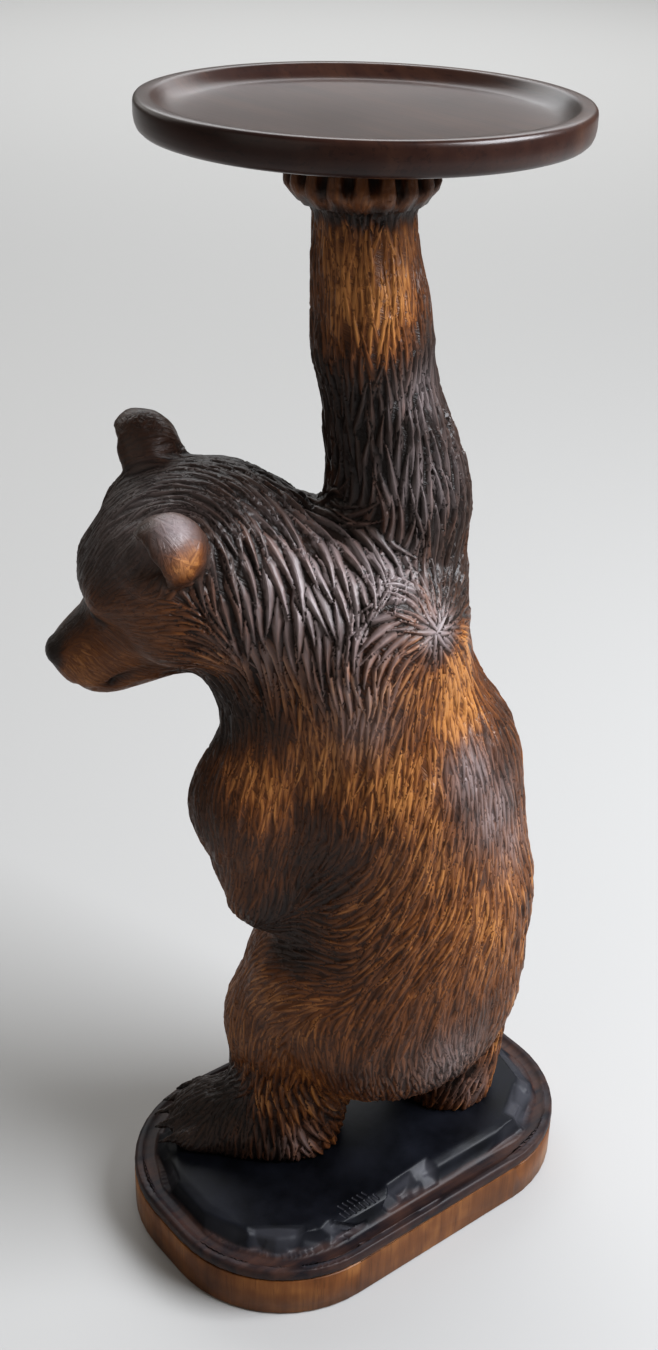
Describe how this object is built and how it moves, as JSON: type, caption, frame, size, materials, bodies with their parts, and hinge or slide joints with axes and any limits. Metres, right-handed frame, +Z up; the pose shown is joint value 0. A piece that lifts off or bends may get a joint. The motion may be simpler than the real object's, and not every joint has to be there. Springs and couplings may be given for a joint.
{
  "type": "carved wooden bear",
  "caption": "Carved wooden bear on a rounded plinth, head turned down to one side, one arm raised straight up under a shallow turned tray for keys, cards or a small pot",
  "frame": {"origin": "centre of the plinth's underside", "axes": "+Z up, -Y the way the bear's chest faces, +X the bear's own left and the plinth's long side"},
  "size_m": [0.32, 0.2506, 0.7599],
  "materials": {
    "plinth_board": "orange-brown stain under satin lacquer",
    "carved_ground": "blue-black stain under satin lacquer",
    "bear": "dark and golden brown stain under satin lacquer",
    "tray": "dark red-brown stain under satin lacquer"
  },
  "bodies": {
    "root": {"plinth_board": "plinth_board", "carved_ground": "carved_ground", "bear": "bear", "tray": "tray"}
  },
  "joints": []
}
